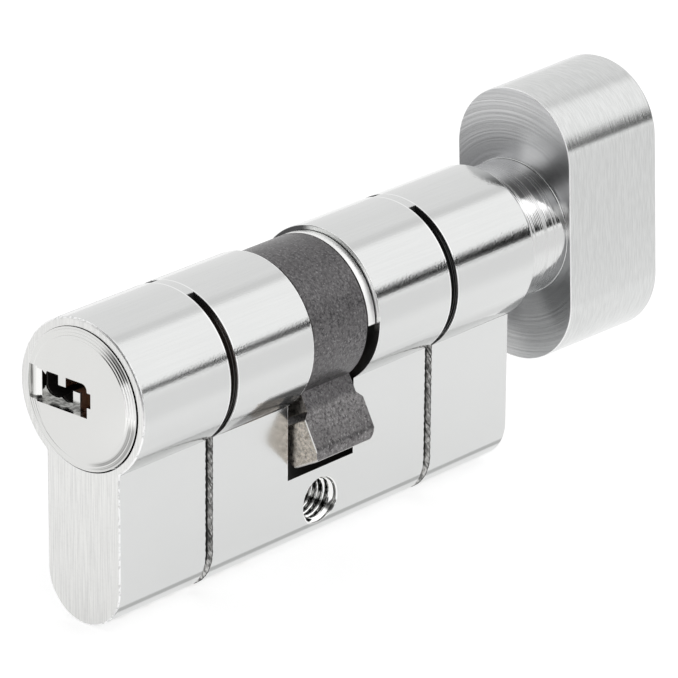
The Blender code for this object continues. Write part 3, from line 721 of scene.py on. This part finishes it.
    # Sawn walls
    twist = tree.vector((across + lift) * 2200.0, (across - lift) * 420.0, y * 300.0)
    rope = tree.noise(twist, 1.0, 2.0, 0.6)
    mouth = torn * tree.step(across, 4.2 * MM, 4.4 * MM)
    rags = tree.step(rope, 0.38, 0.58)
    scores = tree.noise(tree.vector(radius * 6500.0, lift * 80.0, y * 200.0), 1.0, 2.0)
    scored = tree.step(scores, 0.48, 0.56) * tree.step(radius, 7.8 * MM, 8.1 * MM) * (1.0 - torn)
    scored = scored * tree.fall(lift, 5.0 * MM, 6.5 * MM)
    # Painted shade: the grooves near black inside, with pale score lines near the head's surface and torn
    # metal showing only near the web's opening
    walls = tree.mix(scored, NEAR_BLACK, colour(0.9, 0.9, 0.9))
    walls = tree.mix(mouth, walls, tree.mix(rags, colour(0.2, 0.2, 0.195), colour(0.72, 0.715, 0.7)))
    tone = tree.mix(sawn, tone, walls)
    # Painted highlights: white lines on the slot's cut edges, the front rim, the rear rim by the knob and the
    # grooves' edges
    pale = tree.larger(tree.larger(cut_edge, rim * dashes), tree.larger(knob_rim, groove_edge * 0.7))
    tone = tree.mix(pale, tone, WHITE)
    # Roughness, relief and metal
    open_wall = tree.larger(mouth, scored)
    rough = 0.05 + 0.02 * cloud + 0.13 * flank * (1.0 - thread) + 0.2 * front + 0.3 * sawn + 0.25 * in_slot
    rough = rough + 0.3 * tree.larger(cut_edge, rim)
    plain = (1.0 - front) * (1.0 - sawn) * (1.0 - thread)
    saw_marks = pits * 2.0 + (rope * 30.0 - across * 66000.0) * torn + scores * 5.0 * (1.0 - torn)
    height = plain * (lines * 0.22 + pits * 0.65) + front * brushed * 2.4 + sawn * saw_marks
    bump = tree.bump(height, 8.0e-6)
    metal = (1.0 - 0.85 * sawn * (1.0 - open_wall)) * (1.0 - 0.7 * knob_rim) * (1.0 - 0.85 * shade_under_head)
    tree.surface(**{"Base Color": tone, "Metallic": metal, "Roughness": rough, "Normal": bump})
    return material


def plug_nickel(name):
    """Key plug: polished plate on the face, milled marks at the slot's mouth, painted shade in the slot's
    depth with bare brass on its right.
    """
    material, tree = new_tree(name)
    place, (x, y, z), (nx, _, nz) = whereabouts(tree)
    lift = z - AXIS
    radius = (x * x + lift * lift) ** 0.5
    cloud = tree.noise(place, 300.0, 3.0)
    grain = tree.noise(place, 3000.0, 2.0, 0.6)
    mottle = tree.step(tree.noise(place, 1500.0, 2.0, 0.6), 0.35, 0.65)
    # The slot's mouth and depth, and the turned bevel
    deep = tree.step(y, (FACE + 1.35) * MM, (FACE + 1.7) * MM)
    rim = tree.step(radius, 7.47 * MM, 7.52 * MM) * tree.step(y, (FACE + 0.13) * MM, (FACE + 0.17) * MM)
    cut = tree.step(y, (FACE + 0.19) * MM, (FACE + 0.24) * MM)
    ledge = cut * tree.step(nz, 0.6, 0.8)
    wall = cut * tree.step(nx, 0.6, 0.8) * tree.fall(x, -7.0 * MM, -6.6 * MM)
    milled = tree.step(tree.noise(tree.vector(x * 3000.0, y * 7000.0, z * 300.0), 1.0, 2.0), 0.4, 0.6)
    rings = tree.step(tree.noise(tree.vector(radius * 5200.0, x * 40.0, lift * 40.0), 1.0, 2.0), 0.42, 0.58)
    slope = lift / radius
    # Turned ring marks on the bevel's right side, darkened there as a painted reflection
    right_rings = rings * tree.step(x, 0.5 * MM, 3.0 * MM)
    turned_rings_and_reflection_low = right_rings * tree.band(radius, 6.5 * MM, 7.5 * MM, 0.15 * MM)
    turned_rings_and_reflection_low = turned_rings_and_reflection_low * tree.fall(lift, -1.6 * MM, -0.4 * MM)
    turned_rings_and_reflection_high = right_rings * tree.band(radius, 6.3 * MM, 7.4 * MM, 0.15 * MM)
    turned_rings_and_reflection_high = turned_rings_and_reflection_high * tree.band(slope, 0.5, 0.84, 0.08) * (1.0 - cut)
    # Colours
    tone = tree.mix(cloud, colour(0.70, 0.70, 0.687), colour(0.725, 0.725, 0.712))
    tone = tree.mix(tree.larger(turned_rings_and_reflection_low * 0.7, turned_rings_and_reflection_high * 0.75), tone, colour(0.2, 0.2, 0.197))
    # rim_light: a painted highlight on the bevel's upper right
    rim_light = tree.band(radius, 6.25 * MM, 7.44 * MM, 0.08 * MM) * tree.band(slope, -0.02, 0.48, 0.05)
    rim_light = rim_light * tree.step(x, 0.0, 1.0 * MM) * (1.0 - cut)
    tone = tree.mix(rim_light, tone, colour(1.0, 1.0, 0.99))
    tone = tree.mix(ledge, tone, tree.mix(mottle, colour(0.16, 0.16, 0.155), colour(0.62, 0.62, 0.61)))
    tone = tree.mix(wall, tone, tree.mix(milled, colour(0.14, 0.14, 0.135), colour(0.7, 0.7, 0.69)))
    # Painted shade: the gap at the plug's rim near black
    tone = tree.mix(rim, tone, NEAR_BLACK)
    brass = tree.mix(grain, colour(0.26, 0.14, 0.085), colour(0.48, 0.28, 0.18))
    # Painted shade: the key slot near black in its depth, with bare brass on its right
    tone = tree.mix(deep, tone, colour(0.03, 0.028, 0.026))
    tone = tree.mix(deep * tree.step(x, -3.0 * MM, -1.5 * MM), tone, brass)
    rough = 0.10 + 0.05 * cloud + 0.3 * deep + 0.1 * ledge + 0.35 * rim_light
    bump = tree.bump(grain + 2.0 * deep * grain, 2.0e-6)
    tree.surface(**{"Base Color": tone, "Metallic": 1.0 - 0.7 * deep, "Roughness": rough, "Normal": bump})
    return material


def sintered_steel(name):
    """Cam: pressed and sintered steel, dark and granular, its sides paler from their pressed finish and from
    painted light, with painted highlights on its edges.
    """
    material, tree = new_tree(name)
    place, (x, y, z), (_, ny, nz) = whereabouts(tree)
    lift = z - AXIS
    out = x * sin(LUG_ANGLE) - lift * cos(LUG_ANGLE)
    over = x * cos(LUG_ANGLE) + lift * sin(LUG_ANGLE)
    grains = tree.step(tree.noise(place, 3000.0, 3.0, 0.7), 0.32, 0.68)
    specks = tree.step(tree.noise(place, 4300.0, 2.0, 0.6), 0.57, 0.70)
    cloud = tree.step(tree.noise(place, 420.0, 3.0, 0.55), 0.3, 0.7)
    # The lug's sides, edges and the painted shade line where its tip's bevel starts
    on_lug = tree.step(out, 9.4 * MM, 9.9 * MM)
    side = tree.step(abs(ny), 0.75, 0.95) * (0.4 + 0.6 * on_lug)
    faced = tree.step(over, 0.5 * MM, 1.0 * MM)
    edge = on_lug * tree.step(over, 2.08 * MM, 2.12 * MM) * tree.fall(y, -4.44 * MM, -4.38 * MM)
    foot = tree.band(out, 14.68 * MM, 14.9 * MM, 0.04 * MM) * tree.fall(y, -4.4 * MM, -4.3 * MM)
    lip = tree.step(out, 14.82 * MM, 14.87 * MM) * faced
    tip_bevel_shade = tree.band(out, 13.55 * MM, 13.9 * MM, 0.12 * MM) * faced
    # Colours
    dark = tree.mix(grains, colour(0.058, 0.056, 0.058), colour(0.218, 0.211, 0.215))
    lug = tree.mix(grains, colour(0.11, 0.105, 0.107), colour(0.34, 0.33, 0.33))
    # Painted shade: faces turned upwards darker
    dark = tree.mix(tree.step(nz, 0.4, 1.0) * 0.3, dark, colour(0.07, 0.067, 0.069))
    dark = tree.mix(on_lug, dark, lug)
    dark = tree.mix(cloud * 0.5, dark, colour(0.12, 0.115, 0.117))
    dark = tree.mix(tip_bevel_shade * 0.5, dark, colour(0.05, 0.05, 0.05))
    # Paler sides: partly their pressed finish, partly painted light on the faces turned sideways
    pale = tree.mix(grains, colour(0.36, 0.32, 0.275), colour(0.88, 0.81, 0.73))
    tone = tree.mix(side, dark, pale)
    tone = tree.mix(specks * (0.35 + 0.35 * on_lug), tone, colour(0.5, 0.49, 0.49))
    # Painted highlights on the lug's edges, its foot and the lip of its tip
    tone = tree.mix(tree.larger(edge, tree.larger(foot, lip) * 0.6), tone, colour(0.95, 0.94, 0.92))
    rough = 0.27 + 0.14 * grains
    bump = tree.bump(grains + 0.6 * specks, 1.2e-5)
    tree.surface(**{"Base Color": tone, "Metallic": 0.92, "Roughness": rough, "Normal": bump})
    return material


def bright_steel(name, low, high, roughness):
    """Plain steel or brass pieces: an even metal with fine, cloudy wear."""
    material, tree = new_tree(name)
    place = tree.where("Object")
    cloud = tree.noise(place, 700.0, 3.0)
    grain = tree.noise(place, 4200.0, 2.0, 0.6)
    tone = tree.mix(cloud, colour(*low), colour(*high))
    rough = roughness + 0.12 * cloud
    bump = tree.bump(grain, 1.5e-6)
    tree.surface(**{"Base Color": tone, "Metallic": 1.0, "Roughness": rough, "Normal": bump})
    return material


def knob_nickel(name):
    """Thumbturn: brushed round its flank, turned on its near face and ringed by the tool on its neck."""
    material, tree = new_tree(name)
    place, (x, y, z), (_, ny, nz) = whereabouts(tree)
    lift = z - AXIS
    radius = (x * x + lift * lift) ** 0.5
    # Flank, near face, neck and far face
    on_grip = tree.step(y, (KNOB_NEAR - 0.3) * MM, (KNOB_NEAR - 0.1) * MM)
    flank = tree.step(y, (KNOB_NEAR + 0.05) * MM, (KNOB_NEAR + 0.15) * MM) * tree.fall(abs(ny), 0.5, 0.8)
    near = tree.step(0.0 - ny, 0.8, 0.95) * on_grip
    neck = 1.0 - on_grip
    far = tree.step(ny, 0.8, 0.95) * tree.step(y, 50.0 * MM, 50.5 * MM)
    edge = tree.band(y, (KNOB_NEAR + 0.005) * MM, (KNOB_NEAR + 0.11) * MM, 0.01 * MM)
    # Grain left by brush and tool
    cloud = tree.noise(place, 160.0, 3.0)
    dashes = tree.noise(tree.vector(x * 600.0, y * 6000.0, lift * 600.0), 1.0, 2.0, 0.6)
    streaks = tree.noise(tree.vector(x * 90.0, y * 3600.0, lift * 90.0), 1.0, 3.0, 0.65)
    strokes = tree.noise(tree.vector(x * 1300.0, y * 5200.0, lift * 1300.0), 1.0, 2.0, 0.5)
    rings = tree.noise(tree.vector(radius * 2300.0, x * 25.0, lift * 25.0), 1.0, 3.0, 0.6)
    tooled = tree.noise(tree.vector(x * 40.0, y * 4200.0, lift * 40.0), 1.0, 2.0, 0.5)
    # Painted light and shade on the near face
    to_right = x / radius
    beyond = 1.6 * MM * tree.step(to_right, -0.1, 0.35)
    shade_toward_neck = tree.step(radius - beyond, 8.0 * MM, 14.0 * MM)
    low_light = tree.step(0.0 - lift, 10.5 * MM, 13.5 * MM) * tree.fall(x, 0.0, 3.0 * MM)
    gleam = tree.band(to_right, 0.1, 0.5, 0.12) * tree.fall(radius, 10.0 * MM, 13.5 * MM)
    shade_on_right = tree.step(to_right, 0.47, 0.6) * tree.fall(radius, 10.5 * MM, 13.5 * MM)
    # Colours
    tone = tree.mix(tree.step(dashes, 0.35, 0.65), colour(0.635, 0.642, 0.637), colour(0.725, 0.732, 0.727))
    tone = tree.mix(cloud * 0.5, tone, colour(0.68, 0.687, 0.682))
    # Painted light: the neck lighter on top, up to white
    lit_neck_top = tree.mix(tree.step(nz, 0.3, 0.62), colour(0.72, 0.725, 0.72), WHITE)
    tone = tree.mix(neck, tone, lit_neck_top)
    grained = tree.noise(tree.vector(x * 5200.0, y * 100.0, lift * 130.0), 1.0, 2.0, 0.6)
    brushed = tree.mix(tree.step(grained, 0.35, 0.65), colour(0.65, 0.657, 0.652), colour(0.72, 0.727, 0.722))
    tone = tree.mix(far, tone, brushed)
    # Painted light and shade on the near face: shade towards the neck and on the right, light low down, a
    # painted gleam and a painted highlight by the neck; the turned rings darken it in fine lines
    near_face_light_shade_and_rings = tree.mix(shade_toward_neck, colour(0.26, 0.265, 0.276), colour(0.74, 0.745, 0.75))
    near_face_light_shade_and_rings = tree.mix(low_light * 0.7, near_face_light_shade_and_rings, WHITE)
    near_face_light_shade_and_rings = tree.mix(gleam * 0.45, near_face_light_shade_and_rings, colour(0.9, 0.905, 0.91))
    near_face_light_shade_and_rings = tree.mix(shade_on_right * 0.5, near_face_light_shade_and_rings, colour(0.15, 0.152, 0.157))
    near_face_light_shade_and_rings = tree.mix(tree.step(rings, 0.35, 0.65) * 0.3, near_face_light_shade_and_rings, colour(0.30, 0.304, 0.315))
    corner_light = tree.step(to_right, 0.82, 0.9) * tree.fall(radius, 8.1 * MM, 8.7 * MM)
    corner_light = corner_light * tree.step(lift, 0.0, 1.2 * MM)
    near_face_light_shade_and_rings = tree.mix(corner_light, near_face_light_shade_and_rings, WHITE)
    tone = tree.mix(near, tone, near_face_light_shade_and_rings)
    # Painted highlight: a white line round the near edge
    tone = tree.mix(edge, tone, WHITE)
    # Roughness and relief
    rough = 0.07 + 0.04 * cloud + 0.10 * flank + 0.14 * near + 0.4 * edge
    rough = rough + neck * (0.02 + 0.18 * tree.step(tooled, 0.5, 0.62)) + 0.12 * far
    height = flank * (streaks * 0.9 + strokes * 0.7) + near * rings * 5.0 + far * grained * 1.5
    height = height + neck * (tooled * 0.6 + 40.0 * tree.step(lift, 3.2 * MM, 6.2 * MM))
    bump = tree.bump(height, 6.0e-6)
    tree.surface(**{"Base Color": tone, "Metallic": 1.0, "Roughness": rough, "Normal": bump})
    return material


def make_world():
    """A studio: a bright wall on the right, a dark gap over the floor, a dim side towards the camera."""
    world = bpy.data.worlds.new("studio")
    bpy.context.scene.world = world
    tree = Tree(world)
    x, y, z = tree.parts(tree.where("Generated"))
    right = tree.step(x, 0.02, 0.18)
    dip = tree.fall(abs(x - 0.03), 0.03, 0.17)
    light = 0.92 + 0.21 * right - 0.10 * dip * (1.0 - right)
    aside = tree.smaller(tree.larger(y - x, -0.1), 0.15) + 0.06
    foot = 0.076 - 0.12 * aside
    top = 0.150 + 0.64 * aside
    gap = tree.step(z, foot - 0.007, foot + 0.007) * tree.fall(z, top - 0.01, top + 0.025)
    gap = gap * tree.step(x, 0.0, 0.3)
    dim = tree.fall(y, -0.45, 0.0) * tree.step(x, -0.42, -0.15)
    window = tree.step(x, 0.38, 0.5) * tree.step(z, 0.22, 0.32)
    level = (light * (1.0 - gap) + 0.004 * gap) * (1.0 - 0.92 * dim * (1.0 - window))
    seen = tree.ray("Is Camera Ray")
    level = level * (1.0 - seen) + seen
    shine = tree.node("ShaderNodeBackground", None, {"Color": WHITE, "Strength": level})
    tree.node("ShaderNodeOutputWorld", None, {"Surface": shine})


def make_floor():
    """Pale floor under the web's foot; metal shows painted shade on it, dimmer on the left, far ahead, far
    right and beside the foot, and a painted glint ahead.
    """
    reach = 4.0
    below_part = 0.05 * MM
    white_level = 0.62
    mirror_level = 0.58
    work = bmesh.new()
    bmesh.ops.create_circle(work, cap_ends=True, segments=64, radius=reach)
    mesh = bpy.data.meshes.new("floor")
    work.to_mesh(mesh)
    work.free()
    floor = bpy.data.objects.new("floor", mesh)
    floor.location = (0.0, 0.0, cad_box[0].z - below_part)
    bpy.context.scene.collection.objects.link(floor)
    material, tree = new_tree("floor_white")
    x, y, _ = tree.parts(tree.where("Object"))
    # Painted shadows and a painted glint on the floor, seen only in metal: the object's shadow on the left,
    # shade far ahead and far right, a line beside the web's foot
    left = tree.step(y - 1.13 * x, 5.0 * MM, 20.0 * MM) * tree.step(0.0 - x, 7.0 * MM, 26.0 * MM)
    left = left * tree.fall(0.0 - x, 78.0 * MM, 100.0 * MM) * tree.band(y, -45.0 * MM, 80.0 * MM, 12.0 * MM)
    ahead = tree.fall(y, -132.0 * MM, -112.0 * MM) * tree.step(x - 0.5 * y, -15.0 * MM, 15.0 * MM)
    glint = tree.band(y, -108.0 * MM, -70.0 * MM, 8.0 * MM) * tree.band(x, -30.0 * MM, 10.0 * MM, 8.0 * MM)
    far = tree.step(x, 30.0 * MM, 60.0 * MM)
    under = tree.fall(abs(x - 4.7 * MM), 0.3 * MM, 0.8 * MM) * tree.fall(abs(y), 32.0 * MM, 36.0 * MM)
    shade_of_floor = 0.97 * (1.0 - 0.7 * left) * (1.0 - 0.92 * ahead) * (1.0 + 0.3 * glint)
    shade_of_floor = shade_of_floor * (1.0 - 0.14 * far) * (1.0 - 0.4 * under)
    mirror = tree.ray("Is Glossy Ray") + tree.ray("Is Transmission Ray")
    glow = white_level * tree.ray("Is Camera Ray") + mirror_level * mirror * shade_of_floor
    pale = white_level * (1.0 - mirror * (1.0 - shade_of_floor))
    tree.surface(**{"Base Color": tree.vector(pale, pale, pale), "Roughness": 1.0, "Specular IOR Level": 0.0,
                    "Emission Color": tree.vector(glow, glow, glow), "Emission Strength": 1.0})
    mesh.materials.append(material)


def make_camera():
    """The photograph's view: a long lens from the front right, a little above."""
    turn = radians(41.415)
    rise = radians(21.861)
    roll = radians(0.529)
    distance = 562.639 * MM
    aim_right = 5.522 * MM
    aim_down = 2.244 * MM
    sensor = 36.0
    focal_pixels = 5472.283
    photo_pixels = 678.0
    back = Vector((sin(turn) * cos(rise), -cos(turn) * cos(rise), sin(rise)))
    level = Vector((cos(turn), sin(turn), 0.0))
    over = back.cross(level)
    right = cos(roll) * level + sin(roll) * over
    up = -sin(roll) * level + cos(roll) * over
    camera = bpy.data.objects.new("camera", bpy.data.cameras.new("camera"))
    camera.data.sensor_width = sensor
    camera.data.lens = sensor * focal_pixels / photo_pixels
    camera.data.clip_start = 0.01
    camera.data.clip_end = 20.0
    place = back * distance + right * aim_right - up * aim_down + Vector((0.0, 0.0, AXIS))
    camera.matrix_world = Matrix.Translation(place) @ Matrix((right, up, back)).transposed().to_4x4()
    bpy.context.scene.collection.objects.link(camera)
    bpy.context.scene.camera = camera


make_world()
make_floor()
make_camera()
HOUSING_NICKEL = drawn_nickel("drawn_nickel")
PLUG_NICKEL = plug_nickel("polished_nickel")
KNOB_NICKEL = knob_nickel("brushed_nickel")
SINTERED = sintered_steel("sintered_steel")
STEEL = bright_steel("hardened_steel", (0.42, 0.42, 0.43), (0.55, 0.55, 0.56), 0.2)
SPRING = bright_steel("spring_steel", (0.80, 0.80, 0.79), (0.88, 0.88, 0.87), 0.08)
RING = bright_steel("ring_steel", (0.94, 0.94, 0.93), (1.0, 1.0, 0.99), 0.3)
BRASS = bright_steel("brass", (0.60, 0.42, 0.18), (0.74, 0.55, 0.27), 0.2)
METALS = {"chamber_plug": BRASS, "key_pin": BRASS, "driver_pin": STEEL, "clutch": STEEL,
          "thumbturn_core": HOUSING_NICKEL, "knob_set_screw": STEEL}
for name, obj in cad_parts.items():
    kinds = [kind for kind in METALS if name.startswith(kind)]
    obj.data.materials.clear()
    obj.data.materials.append(METALS[max(kinds, key=len)] if kinds else HOUSING_NICKEL)
make_housing(HOUSING_NICKEL)
make_key_plug(PLUG_NICKEL)
make_cam(SINTERED)
make_circlip("key_side_ring", -4.98, -4.5, "key_plug", "key_plug_circlip", RING)
make_circlip("knob_side_ring", 3.85, 4.92, "thumbturn", "thumbturn_circlip", RING)
make_knob(KNOB_NICKEL)
make_springs(SPRING)

bpy.context.scene.view_settings.view_transform = "Standard"
